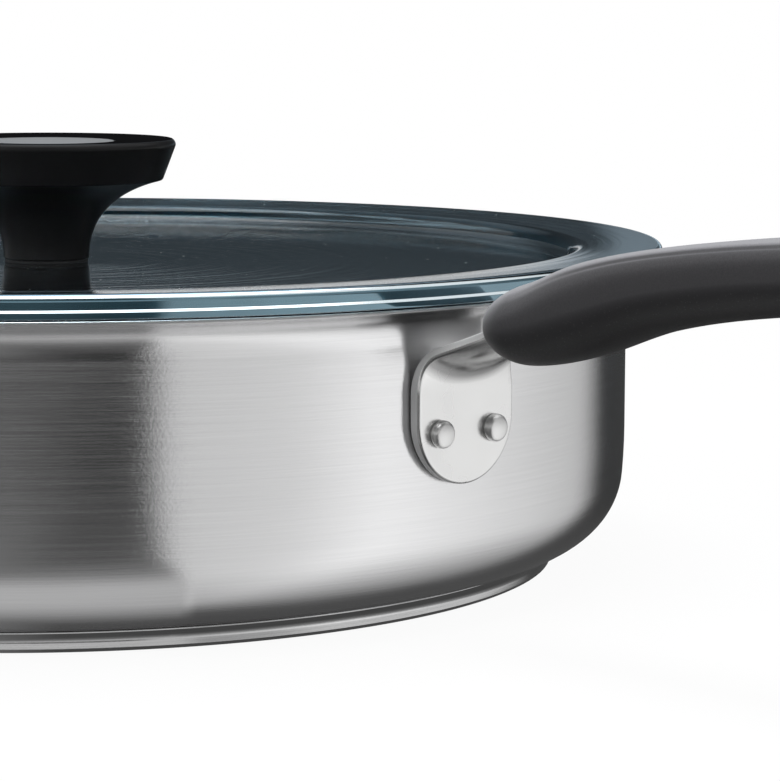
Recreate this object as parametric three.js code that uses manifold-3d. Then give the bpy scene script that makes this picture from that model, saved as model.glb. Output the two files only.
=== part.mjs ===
// Saute pan with a glass lid: a drawn steel bowl on a bonded heat-spreading base, a pressed
// bracket riveted to the wall that carries a moulded grip, and a stepped glass lid with a knob.
// Millimetres, +Z up. The origin is the centre of the base's underside, on the pan's axis,
// and the handle points along +X.

import * as THREE from 'three';
import { mergeVertices } from 'three/addons/utils/BufferGeometryUtils.js';
import Module from 'manifold-3d';

const wasm = await Module();
wasm.setup();

// Pan body
const panRadius = 140; // outside of the upright wall
const panHeight = 71.8; // base's underside to the top of the rim
const wallSheet = 0.8;
const cornerRadius = 19.2; // outside, between wall and floor
const taperAngle = 4.4; // lean of the lower wall, in degrees
const taperHeight = 27.8; // where the leaning wall meets the upright one
const taperBlend = 146; // radius that eases one into the other
const rimReach = 7.5; // lip of the rim past the wall
const rimAngle = 20; // lip above the horizontal, in degrees
const rimBend = 8; // outside radius between wall and lip

// Base: an aluminium disc inside a steel cap
const baseThickness = 4.4; // base's underside to the bowl
const capSheet = 0.6;
const capInset = 17.4; // cap's upper edge inside the wall's line
const capLean = 1.8; // how far the cap's side leans out
const capBend = 5; // outside radius of the cap's lower edge

// Lid
const lidOverhang = 1.5; // lid's edge past the rim
const glassThickness = 5;
const flangeWidth = 21; // from the lid's edge in to the step
const flangeFall = 0.9; // slope of the flange over its width
const stepDepth = 5; // drop from the flange to the lid's floor
const stepRun = 3.8; // width of the slope between them
const stepBend = 2.6;
const lidEdgeRound = 1.7;

// Knob
const knobRadius = 31.5; // at the rim
const knobHeight = 29.5; // foot to the top of the rim
const knobTaper = 3.3; // of the conical side, from the rim to the knee
const kneeHeight = 19; // of the conical side's lower edge above the foot
const kneeRound = 0.8;
const neckRadius = 10.3;
const neckRise = 0.5; // upright part of the neck's curve, as a share of the knee's height
const flareRise = 0.85; // height that the curve's flat end makes for, likewise
const flareReach = 0.42; // its radius, as a share of the neck's and the knee's together
const knobRimRound = 1.3;
const knobRimWidth = 2.4;
const dishDepth = 0.8; // fall of the knob's top from the rim to the inlay
const inlayRadius = 16.5;
const inlayThickness = 0.8;

// What holds the knob on the glass
const screwRadius = 2.5;
const screwGrip = 8.2; // length of screw inside the insert
const screwHeadRadius = 4.75;
const screwHeadHeight = 3.2;
const insertRadius = 4.2;
const insertLength = 11;
const insertDepth = 1.2; // of the insert's lower end inside the knob's foot
const gasketThickness = 0.8;
const gasketInset = 0.3; // edge of the upper gasket inside the knob's foot
const washerThickness = 1;
const washerRadius = 9;
const glassHoleGap = 1.1; // between the screw and the glass

// Bracket: plate on the wall, bend, troughed arm and tang, pressed from one sheet
const plateWidth = 28.4;
const plateSheet = 2.1;
const plateDrop = 38.9; // rim's top to the plate's round end
const plateLength = 20; // from the plate's round end to the bend
const bendRadius = 7.5; // middle of the sheet
const armAngle = 22; // above the horizontal, in degrees
const armLength = 12;
const armWidth = 17; // where the arm enters the grip
const troughDepth = 2.4; // of the arm's hollow upper side
const tangAngle = 10.5; // above the horizontal, in degrees
const tangBlend = 60; // radius between arm and tang
const tangLength = 92;
const tangWidth = 13;
const tangTrough = 1;

// Rivets
const rivetRise = 11.4; // above the plate's round end
const rivetSpacing = 16;
const rivetRadius = 2.5;
const rivetTailSpread = 0.5; // of the tail outside the plate, past the shank
const rivetTailHeight = 2;
const rivetTailRound = 0.7;
const rivetHeadSpread = 3; // of the head inside the pan, past the shank
const rivetHeadHeight = 1.8;

// Grip
const gripGap = 11.8; // wall to the grip's nose
const gripReach = 198; // wall to the grip's tip
const gripArch = 74.2; // run of the arched part behind the nose
const gripRise = 61.3; // plate's round end to the grip's highest point
const gripWidth = 26; // at the widest
const gripNose = 12.2; // length of the round nose
const gripTip = 11; // length of the round tip
const gripTopFlat = 4.6; // squareness of the upper half of the section
const gripUnderFlat = 2.2; // squareness of the lower half
const gripTopEase = 45; // length over which the top flattens out
const hangHoleLength = 20;
const hangHoleWidth = 9;
const hangHoleWall = 9; // left between the hole and the tip
// The grip's side view and plan: shares of the arched run and of the straight run behind it,
// then underside and top as shares of the rise, and width as a share of the widest
const gripStations = [
  { arch: 0, straight: 0, under: 0.455, top: 0.69, wide: 0.954 },
  { arch: 0.178, straight: 0, under: 0.444, top: 0.732, wide: 0.962 },
  { arch: 0.38, straight: 0, under: 0.496, top: 0.814, wide: 0.962 },
  { arch: 0.65, straight: 0, under: 0.605, top: 0.879, wide: 0.923 },
  { arch: 1, straight: 0, under: 0.68, top: 0.932, wide: 0.885 },
  { arch: 1, straight: 0.304, under: 0.729, top: 0.974, wide: 0.908 },
  { arch: 1, straight: 0.661, under: 0.762, top: 1, wide: 0.969 },
  { arch: 1, straight: 1, under: 0.755, top: 0.99, wide: 1 },
];

// Clearances
const fitGap = 0.3; // between pieces that are fitted or fixed to each other
const seatGap = 0.3; // lid's flange over the rim

// Facets
const roundSteps = 64; // round the pan and the lid
const knobSteps = 32;
const neckSteps = 9; // up the knob's neck
const smallSteps = 16;
const gripSteps = 20; // round the grip
const gripAlong = 24; // along it
const gripEndCut = 0.03; // flat left on the nose, as a share of the curve's quarter turn
const sheetSteps = 8; // across the bracket
const sheetBlunt = 0.2; // half width left at the ends of the bracket's round outlines
const arcBow = 0.17; // bow of an arc over one facet of it
const arcRoom = 0.98; // most of a side that arcs at its two ends take
const mergeTolerance = 1e-4;

const radians = THREE.MathUtils.degToRad;

// Outlines

// Points of an outline given as corners [x, y, radius], with an arc at each corner that has one.
// Where two arcs would meet on the side between them, both get smaller.
function rounded(corners, closed) {
  const count = corners.length;
  const places = corners.map(([x, y]) => new THREE.Vector2(x, y));
  const neighbours = (i) => [(i + count - 1) % count, (i + 1) % count];
  const sidesAt = (i) => neighbours(i).map((j) => places[j].clone().sub(places[i]));
  const bends = corners.map(([, , radius = 0], i) => {
    const isEnd = !closed && (i === 0 || i === count - 1);
    const [before, after] = sidesAt(i);
    const turn = isEnd ? 0 : Math.PI - before.angleTo(after);
    return { turn, reach: radius * Math.tan(turn / 2) };
  });
  const points = bends.flatMap(({ turn, reach: wanted }, i) => {
    if (wanted <= 0) {
      return [places[i]];
    }
    const rooms = neighbours(i).map((j) => places[i].distanceTo(places[j]) / (wanted + bends[j].reach));
    const reach = wanted * Math.min(1, arcRoom * Math.min(...rooms));
    const arcRadius = reach / Math.tan(turn / 2);
    const [before, after] = sidesAt(i).map((side) => side.normalize());
    const inward = before.clone().add(after).normalize();
    const centre = places[i].clone().addScaledVector(inward, arcRadius / Math.cos(turn / 2));
    const start = places[i].clone().addScaledVector(before, reach);
    const sign = -Math.sign(before.cross(after));
    const facetTurn = 2 * Math.acos(Math.max(1 - arcBow / arcRadius, 0));
    const steps = Math.max(1, Math.ceil(turn / facetTurn));
    const arcPoint = (_, k) => start.clone().rotateAround(centre, (sign * turn * k) / steps);
    return Array.from({ length: steps + 1 }, arcPoint);
  });
  return closed ? [...points, points[0].clone()] : points;
}

// Corners of the other face of a sheet whose first face is given, the sheet lying to its left.
function otherFace(corners, sheet) {
  const normals = corners.slice(1).map(([x, y], i) => {
    const along = new THREE.Vector2(x - corners[i][0], y - corners[i][1]).normalize();
    return new THREE.Vector2(-along.y, along.x);
  });
  return corners.map(([x, y, radius = 0], i) => {
    const first = normals[Math.max(i - 1, 0)];
    const second = normals[Math.min(i, normals.length - 1)];
    const middle = first.clone().add(second).normalize();
    const shift = sheet / middle.dot(first);
    const turnsLeft = first.cross(second) > 0;
    const otherRadius = radius > 0 ? Math.max(radius + (turnsLeft ? -sheet : sheet), 0.1) : 0;
    return [x + middle.x * shift, y + middle.y * shift, otherRadius];
  });
}

// Outline of a sheet from one face of it, with both of its cut edges rounded by the same radius.
function sheetOutline(face, sheet, edgeRound) {
  const other = otherFace(face, sheet);
  const last = face.length - 1;
  face[last][2] = edgeRound;
  other[last][2] = edgeRound;
  return [...face, ...other.reverse()];
}

// Solids

// Triangles of a closed surface with shared vertices, facing outwards.
function closedSurface(geometry) {
  const bare = geometry.clone();
  bare.deleteAttribute('normal');
  bare.deleteAttribute('uv');
  const merged = mergeVertices(bare, mergeTolerance);
  const position = merged.getAttribute('position');
  const index = merged.getIndex().array;
  const triangles = [];
  const [a, b, c] = [new THREE.Vector3(), new THREE.Vector3(), new THREE.Vector3()];
  let volume = 0;
  for (let i = 0; i < index.length; i += 3) {
    const [p, q, r] = [index[i], index[i + 1], index[i + 2]];
    if (p !== q && q !== r && r !== p) {
      triangles.push([p, q, r]);
      a.fromBufferAttribute(position, p);
      b.fromBufferAttribute(position, q);
      c.fromBufferAttribute(position, r);
      volume += a.dot(b.cross(c));
    }
  }
  const outward = volume < 0 ? triangles.map(([p, q, r]) => [p, r, q]) : triangles;
  return { vertices: new Float32Array(position.array), indices: new Uint32Array(outward.flat()) };
}

function toSolid(geometry) {
  const { vertices, indices } = closedSurface(geometry);
  return new wasm.Manifold(new wasm.Mesh({ numProp: 3, vertProperties: vertices, triVerts: indices }));
}

function toGeometry(solid) {
  const mesh = solid.getMesh();
  const geometry = new THREE.BufferGeometry();
  geometry.setAttribute('position', new THREE.BufferAttribute(mesh.vertProperties, 3));
  geometry.setIndex(new THREE.BufferAttribute(mesh.triVerts, 1));
  geometry.computeVertexNormals();
  return geometry;
}

// Solid of revolution about Z from an outline of [radius, height] points.
function turned(outline, steps) {
  return toSolid(new THREE.LatheGeometry(outline, steps).rotateX(Math.PI / 2));
}

// The same, with its axis along X through a point of the YZ plane.
function turnedAlongX(outline, steps, y, z) {
  const geometry = new THREE.LatheGeometry(outline, steps);
  return toSolid(geometry.rotateZ(-Math.PI / 2).translate(0, y, z));
}

// Solid through sections that all have as many points, closed by flat ends.
function lofted(sections) {
  const around = sections[0].length;
  const positions = sections.flatMap((section) => section.flatMap((point) => point.toArray()));
  const indices = [];
  for (let i = 0; i + 1 < sections.length; i += 1) {
    for (let j = 0; j < around; j += 1) {
      const next = (j + 1) % around;
      const [a, b] = [i * around + j, i * around + next];
      indices.push(a, b, a + around, b, b + around, a + around);
    }
  }
  const half = around / 2;
  const last = (sections.length - 1) * around;
  for (let j = 0; j + 1 < half; j += 1) {
    const [a, b, c, d] = [j, j + 1, around - 1 - j, around - 2 - j];
    indices.push(a, c, b, b, c, d);
    indices.push(last + a, last + b, last + c, last + b, last + d, last + c);
  }
  const geometry = new THREE.BufferGeometry();
  geometry.setAttribute('position', new THREE.Float32BufferAttribute(positions, 3));
  geometry.setIndex(indices);
  return toSolid(geometry);
}

// Places that several pieces share

const lipRadius = panRadius + rimReach;
const lidRadius = lipRadius + lidOverhang;
const capRadius = panRadius - capInset;
const lipLow = panHeight - wallSheet * Math.cos(radians(rimAngle));
const innerRadius = panRadius - wallSheet;
const flangeSlope = flangeFall / flangeWidth;
const flangeHigh = panHeight + seatGap + glassThickness + lidOverhang * flangeSlope;
const floorHigh = flangeHigh - flangeFall - stepDepth;
const floorLow = floorHigh - glassThickness;
const knobFoot = floorHigh + gasketThickness;
const kneeRadius = knobRadius - knobTaper;
const insertLow = knobFoot + insertDepth;
const insertHigh = insertLow + insertLength;
const washerHigh = floorLow - gasketThickness;
const washerLow = washerHigh - washerThickness;
const plateBottom = panHeight - plateDrop;
const plateInner = panRadius + fitGap;
const plateOuter = plateInner + plateSheet;
const rivetHeight = plateBottom + rivetRise;
const rivetTailRadius = rivetRadius + rivetTailSpread;
const rivetHeadRadius = rivetRadius + rivetHeadSpread;
const gripStart = panRadius + gripGap;
const gripEnd = panRadius + gripReach;
const screwHole = screwRadius + fitGap;
const screwHigh = insertLow + screwGrip;

// Pan body

function panBody() {
  const lean = (taperHeight - baseThickness) * Math.tan(radians(taperAngle));
  const lipCorner = lipLow - rimReach * Math.tan(radians(rimAngle));
  const outside = [
    [0, baseThickness],
    [panRadius - lean, baseThickness, cornerRadius],
    [panRadius, taperHeight, taperBlend],
    [panRadius, lipCorner, rimBend],
    [lipRadius, lipLow],
  ];
  return turned(rounded(sheetOutline(outside, wallSheet, 0), false), roundSteps).subtract(rivetHoles());
}

function capOutside() {
  return [
    [0, 0],
    [capRadius - capLean, 0, capBend],
    [capRadius, baseThickness - fitGap / 2],
  ];
}

function baseCap() {
  return turned(rounded(sheetOutline(capOutside(), capSheet, 0), false), roundSteps);
}

// The disc fills the cap up to the bowl's flat bottom.
function baseCore() {
  const [, [bendX, bendY, bend]] = otherFace(capOutside(), capSheet + fitGap);
  const sideX = capRadius - capSheet - 2 * fitGap;
  const outline = [
    [0, capSheet],
    [bendX - fitGap, Math.min(bendY, capSheet), bend],
    [sideX, baseThickness],
    [0, baseThickness],
  ];
  return turned(rounded(outline, false), roundSteps);
}

// Lid and what is screwed to it

function lidGlass() {
  const stepHigh = flangeHigh - flangeFall;
  const stepRadius = lidRadius - flangeWidth;
  const top = [
    [screwRadius + glassHoleGap, floorHigh],
    [stepRadius - stepRun, floorHigh, stepBend],
    [stepRadius, stepHigh, stepBend],
    [lidRadius, flangeHigh],
  ];
  return turned(rounded(sheetOutline(top, -glassThickness, lidEdgeRound), true), roundSteps);
}

function knob() {
  const rimHigh = knobFoot + knobHeight;
  const knee = knobFoot + kneeHeight;
  const inlayHigh = rimHigh - dishDepth;
  const inlayLow = inlayHigh - inlayThickness;
  const recess = inlayRadius + fitGap;
  const bore = insertRadius + fitGap;
  const neck = new THREE.CubicBezierCurve(
    new THREE.Vector2(neckRadius, knobFoot),
    new THREE.Vector2(neckRadius, knobFoot + kneeHeight * neckRise),
    new THREE.Vector2((neckRadius + kneeRadius) * flareReach, knobFoot + kneeHeight * flareRise),
    new THREE.Vector2(kneeRadius, knee),
  );
  const neckPoints = neck.getPoints(neckSteps).slice(0, -1).map(({ x, y }) => [x, y]);
  const outline = [
    [0, insertHigh],
    [bore, insertHigh],
    [bore, knobFoot],
    ...neckPoints,
    [kneeRadius, knee, kneeRound],
    [knobRadius, rimHigh - knobRimRound, knobRimRound],
    [knobRadius - knobRimWidth / 2, rimHigh, knobRimRound],
    [knobRadius - knobRimWidth, rimHigh - knobRimRound / 4, knobRimRound],
    [recess, inlayHigh],
    [recess, inlayLow],
    [0, inlayLow],
  ];
  return turned(rounded(outline, false), knobSteps);
}

function knobInlay() {
  const low = knobFoot + knobHeight - dishDepth - inlayThickness;
  const outline = [
    [0, low],
    [inlayRadius, low],
    [inlayRadius, low + inlayThickness, inlayThickness / 3],
    [0, low + inlayThickness],
  ];
  return turned(rounded(outline, false), knobSteps);
}

// A flat ring between two heights.
function ring(inner, outer, low, high) {
  const outline = [
    [inner, low],
    [outer, low],
    [outer, high],
    [inner, high],
  ];
  return turned(rounded(outline, true), smallSteps * 2);
}

function knobScrew() {
  const outline = [
    [0, washerLow - screwHeadHeight],
    [screwHeadRadius, washerLow - screwHeadHeight, screwHeadHeight * 0.8],
    [screwHeadRadius, washerLow],
    [screwRadius, washerLow],
    [screwRadius, screwHigh, screwRadius / 4],
    [0, screwHigh],
  ];
  return turned(rounded(outline, false), smallSteps);
}

// Bracket, rivets and grip

// Stations of the bracket's middle line in the XZ plane: place, heading and distance walked.
function bracketLine(extra) {
  const bendTurn = radians(90 - armAngle);
  const tangTurn = radians(armAngle - tangAngle);
  const endRound = tangWidth / 2;
  const legs = [
    { length: plateWidth / 2, turn: 0, steps: 7, fine: 'start' },
    { length: plateLength - plateWidth / 2, turn: 0, steps: 1 },
    { length: bendRadius * bendTurn, turn: bendTurn, steps: 8 },
    { length: armLength, turn: 0, steps: 3 },
    { length: tangBlend * tangTurn, turn: tangTurn, steps: 2 },
    { length: tangLength - endRound, turn: 0, steps: 3 },
    { length: endRound + extra, turn: 0, steps: 5, fine: 'end' },
  ];
  const stations = [];
  const place = new THREE.Vector2(plateInner + plateSheet / 2, plateBottom);
  let heading = Math.PI / 2;
  let walked = 0;
  stations.push({ place: place.clone(), heading, walked });
  legs.forEach(({ length, turn, steps, fine }) => {
    let done = 0;
    for (let k = 1; k <= steps; k += 1) {
      const quarter = (Math.PI / 2) * (k / steps);
      const share = { start: 1 - Math.cos(quarter), end: Math.sin(quarter) }[fine] ?? k / steps;
      const part = share - done;
      heading -= (turn * part) / 2;
      const bow = turn > 0 ? Math.sin((turn * part) / 2) / ((turn * part) / 2) : 1;
      const chord = length * part * bow;
      place.add(new THREE.Vector2(Math.cos(heading), Math.sin(heading)).multiplyScalar(chord));
      heading -= (turn * part) / 2;
      walked += length * part;
      done = share;
      stations.push({ place: place.clone(), heading, walked });
    }
  });
  return { stations, total: walked, bendStart: plateLength, bendEnd: plateLength + bendRadius * bendTurn };
}

// The bracket as one formed sheet, grown all round by a clearance when it is used as a cutter.
function bracketSheet(grow) {
  const { stations, total, bendStart, bendEnd } = bracketLine(grow);
  const armEnd = bendEnd + armLength;
  const roundHalf = (half, fromEnd) => {
    const inside = Math.min(Math.max(half - fromEnd, 0), half);
    return Math.max(Math.sqrt(half * half - inside * inside), sheetBlunt);
  };
  const sections = stations.map(({ place, heading, walked }) => {
    const armShare = THREE.MathUtils.smoothstep(walked, bendStart, armEnd);
    const tangShare = THREE.MathUtils.clamp((walked - armEnd) / (total - armEnd), 0, 1);
    const bentShare = THREE.MathUtils.smoothstep(walked, bendStart, bendEnd);
    const armHalf = THREE.MathUtils.lerp(plateWidth, armWidth, armShare) / 2;
    const straightHalf = THREE.MathUtils.lerp(armHalf, tangWidth / 2, tangShare);
    const startHalf = roundHalf(plateWidth / 2, walked);
    const endHalf = roundHalf(tangWidth / 2 + grow, total - walked);
    const isEnd = total - walked < tangWidth / 2 + grow;
    const half = isEnd ? endHalf : Math.min(straightHalf, startHalf) + grow;
    const trough = bentShare * THREE.MathUtils.lerp(troughDepth, tangTrough, tangShare);
    const normal = new THREE.Vector2(Math.sin(heading), -Math.cos(heading));
    const point = (share, out) => {
      const across = half * share;
      const depth = out - trough * (across / straightHalf) ** 2;
      return new THREE.Vector3(place.x + normal.x * depth, across, place.y + normal.y * depth);
    };
    const shares = Array.from({ length: sheetSteps + 1 }, (_, j) => (2 * j) / sheetSteps - 1);
    const outer = shares.map((share) => point(share, plateSheet / 2 + grow));
    const inner = shares.map((share) => point(share, -plateSheet / 2 - grow));
    return [...outer, ...inner.reverse()];
  });
  return lofted(sections);
}

const rivetSides = [-1, 1];

// Round holes for both rivets, through the wall and the plate.
function rivetHoles() {
  const hole = [
    [0, innerRadius - plateWidth],
    [rivetRadius + fitGap, innerRadius - plateWidth],
    [rivetRadius + fitGap, plateOuter + plateWidth],
    [0, plateOuter + plateWidth],
  ];
  const outline = rounded(hole, false);
  const [first, second] = rivetSides.map((side) => (
    turnedAlongX(outline, smallSteps, (side * rivetSpacing) / 2, rivetHeight)
  ));
  return first.add(second);
}

function handleBracket() {
  return bracketSheet(0).subtract(rivetHoles());
}

// A low domed head inside the pan, a shank, and a short upset tail outside the plate.
function rivet(side) {
  const headEdge = rivetSpacing / 2 + rivetHeadRadius;
  const facetCut = 1 - Math.cos(Math.PI / roundSteps);
  const headFace = Math.sqrt(innerRadius ** 2 - headEdge ** 2) - fitGap - innerRadius * facetCut;
  const tailFace = plateOuter + fitGap;
  const tailTop = tailFace + rivetTailHeight;
  const outline = [
    [0, headFace - rivetHeadHeight],
    [rivetHeadRadius * 0.7, headFace - rivetHeadHeight * 0.9, rivetHeadRadius],
    [rivetHeadRadius, headFace - rivetHeadHeight * 0.2, rivetHeadHeight * 0.2],
    [rivetHeadRadius, headFace],
    [rivetRadius, headFace],
    [rivetRadius, tailFace],
    [rivetTailRadius, tailFace],
    [rivetTailRadius, tailTop - rivetTailRound / 4, rivetTailRound],
    [0, tailTop],
  ];
  return turnedAlongX(rounded(outline, false), smallSteps, (side * rivetSpacing) / 2, rivetHeight);
}

// Section of the grip: a rounded form, squarer above than below.
function gripSection(x, low, high, half, topFlat) {
  const points = [];
  for (let k = 0; k < gripSteps; k += 1) {
    const angle = (2 * Math.PI * (k + 0.5)) / gripSteps;
    const [across, up] = [Math.cos(angle), Math.sin(angle)];
    const power = 2 / (up > 0 ? topFlat : gripUnderFlat);
    const y = half * Math.sign(across) * Math.abs(across) ** power;
    const lift = Math.sign(up) * Math.abs(up) ** power;
    points.push(new THREE.Vector3(x, y, (low + high) / 2 + (lift * (high - low)) / 2));
  }
  return points;
}

function hangHole() {
  const straight = (hangHoleLength - hangHoleWidth) / 2;
  const outline = new THREE.Shape();
  outline.absarc(straight, 0, hangHoleWidth / 2, -Math.PI / 2, Math.PI / 2);
  outline.absarc(-straight, 0, hangHoleWidth / 2, Math.PI / 2, (3 * Math.PI) / 2);
  const depth = panHeight * 2;
  const cutter = new THREE.ExtrudeGeometry(outline, { depth, bevelEnabled: false, curveSegments: 8 });
  return toSolid(cutter.translate(gripEnd - hangHoleWall - hangHoleLength / 2, 0, 0));
}

function handleGrip() {
  const straightRun = gripEnd - gripStart - gripArch;
  const places = gripStations.map(({ arch, straight, under, top, wide }) => ({
    x: gripStart + arch * gripArch + straight * straightRun,
    low: plateBottom + under * gripRise,
    high: plateBottom + top * gripRise,
    half: (wide * gripWidth) / 2,
  }));
  const side = new THREE.CatmullRomCurve3(
    places.map(({ x, low, high }) => new THREE.Vector3(x, low, high)),
    false,
    'catmullrom',
  );
  const plan = new THREE.SplineCurve(places.map(({ x, half }) => new THREE.Vector2(x, half)));
  const sections = [];
  for (let k = 0; k <= gripAlong; k += 1) {
    const turn = Math.PI * THREE.MathUtils.lerp(gripEndCut, 1 - gripEndCut / 2, k / gripAlong);
    const share = (1 - Math.cos(turn)) / 2;
    const { x, y: low, z: high } = side.getPoint(share);
    const fromNose = Math.min((x - gripStart) / gripNose, 1);
    const fromTip = Math.min((gripEnd - x) / gripTip, 1);
    const full = Math.sqrt(1 - (1 - fromNose) ** 2) * Math.sqrt(1 - (1 - fromTip) ** 2);
    const middle = (low + high) / 2;
    const reach = ((high - low) / 2) * full;
    const flat = THREE.MathUtils.smoothstep(x, gripStart, gripStart + gripTopEase);
    const topFlat = THREE.MathUtils.lerp(gripUnderFlat, gripTopFlat, flat);
    sections.push(gripSection(x, middle - reach, middle + reach, plan.getPoint(share).y * full, topFlat));
  }
  return lofted(sections).subtract(bracketSheet(fitGap)).subtract(hangHole());
}

// Finishes

const finishes = {
  steel: { color: 0xc9c8c6, metalness: 1, roughness: 0.32 },
  polished: { color: 0xd4d3d1, metalness: 1, roughness: 0.18 },
  aluminium: { color: 0xb9bbbd, metalness: 1, roughness: 0.45 },
  brass: { color: 0xb58d3d, metalness: 1, roughness: 0.35 },
  black: { color: 0x1b1b1d, metalness: 0, roughness: 0.5 },
  soft: { color: 0x2c2b2d, metalness: 0, roughness: 0.62 },
  rubber: { color: 0x141415, metalness: 0, roughness: 0.75 },
  glass: { color: 0x9dbecb, metalness: 0, roughness: 0.05, transparent: true, opacity: 0.4 },
};

const pieces = [
  ['pan_body', panBody(), 'steel'],
  ['base_core', baseCore(), 'aluminium'],
  ['base_cap', baseCap(), 'polished'],
  ['handle_bracket', handleBracket(), 'polished'],
  ['rivet_left', rivet(rivetSides[0]), 'polished'],
  ['rivet_right', rivet(rivetSides[1]), 'polished'],
  ['handle_grip', handleGrip(), 'soft'],
  ['lid_glass', lidGlass(), 'glass'],
  ['knob', knob(), 'black'],
  ['knob_inlay', knobInlay(), 'steel'],
  ['knob_insert', ring(screwHole, insertRadius, insertLow, insertHigh), 'brass'],
  ['upper_gasket', ring(screwHole, neckRadius - gasketInset, floorHigh, knobFoot), 'rubber'],
  ['lower_gasket', ring(screwHole, washerRadius, washerHigh, floorLow), 'rubber'],
  ['knob_washer', ring(screwHole, washerRadius, washerLow, washerHigh), 'polished'],
  ['knob_screw', knobScrew(), 'polished'],
];

const part = new THREE.Group();
pieces.forEach(([name, solid, finish]) => {
  const mesh = new THREE.Mesh(toGeometry(solid), new THREE.MeshStandardMaterial(finishes[finish]));
  mesh.name = name;
  part.add(mesh);
});

export default part;
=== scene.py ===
import math

import bmesh
import bpy
from mathutils import Matrix, Vector


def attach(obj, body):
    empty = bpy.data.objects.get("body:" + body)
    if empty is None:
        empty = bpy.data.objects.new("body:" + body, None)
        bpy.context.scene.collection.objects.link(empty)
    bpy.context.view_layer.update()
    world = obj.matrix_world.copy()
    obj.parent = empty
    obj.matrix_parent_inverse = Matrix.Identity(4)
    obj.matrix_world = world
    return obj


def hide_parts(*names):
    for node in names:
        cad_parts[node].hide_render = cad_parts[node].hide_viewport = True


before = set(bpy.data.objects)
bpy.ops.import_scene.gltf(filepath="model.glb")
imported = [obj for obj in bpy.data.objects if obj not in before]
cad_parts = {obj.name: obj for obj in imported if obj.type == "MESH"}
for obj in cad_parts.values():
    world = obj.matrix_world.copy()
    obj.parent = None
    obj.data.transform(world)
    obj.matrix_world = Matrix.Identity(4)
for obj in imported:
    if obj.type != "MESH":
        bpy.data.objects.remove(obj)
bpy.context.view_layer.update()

MM = 0.001

# Sizes in millimetres: the solids' own, and finer ones that only the picture shows

FIT = 0.3
PAN_RADIUS, PAN_HEIGHT, WALL = 140, 71.8, 0.8
CORNER, TAPER_HEIGHT, TAPER_BLEND = 19.2, 27.8, 146
TAPER = math.tan(math.radians(4.4))
RIM_REACH, RIM_BEND, LIP_EDGE = 7.5, 8, 0.35
RIM_ANGLE = math.radians(20)
LIP_RADIUS = PAN_RADIUS + RIM_REACH
BASE, CAP_SHEET, CAP_RADIUS = 4.8, 0.6, 122.6
CAP_FOOT_RUN, CAP_FOOT_RISE, CAP_BELLY = 1.2, 0.55, 0.1
CAP_GROOVE, CAP_BAND, CAP_LIP, CAP_LIP_LEAN = 0.55, 2.9, 0.45, 0.08

LID_RADIUS, GLASS = 149, 5
FLANGE, FLANGE_FALL, FLANGE_BOW = 21, 0.9, 0.45
STEP_DEPTH, STEP_RUN, STEP_BEND = 5, 2.2, 3.3
FLOOR_DISH, FLOOR_BLEND = 0.8, 60
LEDGE, LEDGE_DROP, LEDGE_FALL = 0.5, 3.1, 0.02
LID_HIGH = PAN_HEIGHT + FIT + GLASS + (LID_RADIUS - LIP_RADIUS) * FLANGE_FALL / FLANGE
FLOOR_HIGH = LID_HIGH - FLANGE_FALL - STEP_DEPTH
FLOOR_LOW = FLOOR_HIGH - GLASS

GASKET, WASHER, WASHER_RADIUS = 0.8, 1, 9
KNOB_HEIGHT, KNOB_RADIUS = 29.2, 31.5
KNOB_RIM, KNOB_RIM_WIDTH = 1.5, 2
KNEE_HEIGHT, KNEE_RADIUS, NECK = 19, 28.2, 10.3
NECK_RISE, KNEE_PULL, KNEE_PULL_SHARE = 9.5, 16.15, 0.42
INLAY_RADIUS, INLAY, INLAY_SUNK = 16.5, 0.8, 0.8
BORE_RADIUS, BORE_DEPTH = 4.2, 11
KNOB_FOOT = FLOOR_HIGH + GASKET
KNOB_HIGH = KNOB_FOOT + KNOB_HEIGHT
KNEE = KNOB_FOOT + KNEE_HEIGHT
INLAY_HIGH = KNOB_HIGH - INLAY_SUNK
INSERT_LOW = KNOB_FOOT + 1.2
WASHER_HIGH = FLOOR_LOW - GASKET
WASHER_LOW = WASHER_HIGH - WASHER
SCREW, SCREW_REACH = 2.5, 8.2
SCREW_HEAD, SCREW_HEAD_RADIUS = 3.2, 4.75
SOCKET_RADIUS, SOCKET_DEPTH = 2.4, 1.4
SCREW_HOLE, LID_HOLE = SCREW + FIT, SCREW + 1.1

PLATE_SHEET, PLATE_WIDTH, PLATE_LENGTH, PLATE_EDGE = 2.1, 28.4, 20, 0.6
PLATE_INNER = PAN_RADIUS + FIT
PLATE_BOTTOM = PAN_HEIGHT - 38.9
BEND, ARM_LENGTH, ARM_WIDTH, ARM_TROUGH = 7.5, 12, 17, 2.4
ARM_ANGLE, TANG_ANGLE = math.radians(22), math.radians(10.5)
TANG_BLEND, TANG_LENGTH, TANG_WIDTH, TANG_TROUGH = 60, 92, 13, 1
RIVET_SIDE, RIVET_HEIGHT = 8, PLATE_BOTTOM + 11.4
RIVET_SHANK, RIVET_HEAD, RIVET_HEAD_RADIUS, RIVET_SEAT = 2.5, 1.8, 5.5, 0.17
RIVET_TAIL, RIVET_TAIL_RADIUS, RIVET_CROWN = 1.7, 3, 0.5
GRIP_START, GRIP_END = PAN_RADIUS + 11.8, PAN_RADIUS + 198
GRIP_ARCH, GRIP_RISE, GRIP_WIDTH = 74.2, 61.3, 26
GRIP_NOSE, GRIP_TIP, CREST_RUN = 12.2, 11, 45
SIDE_POWER, CREST_POWER = 2.2, 4.6
CREASE_ANGLE, CREASE_SPREAD, CREASE_DEPTH = 36, 5, 0.35
HOLE_MIDDLE, HOLE_LENGTH, HOLE_WIDTH = GRIP_END - 19, 20, 9

FLOOR_SIZE, FLOOR_DROP = 4000, 0.6

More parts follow.
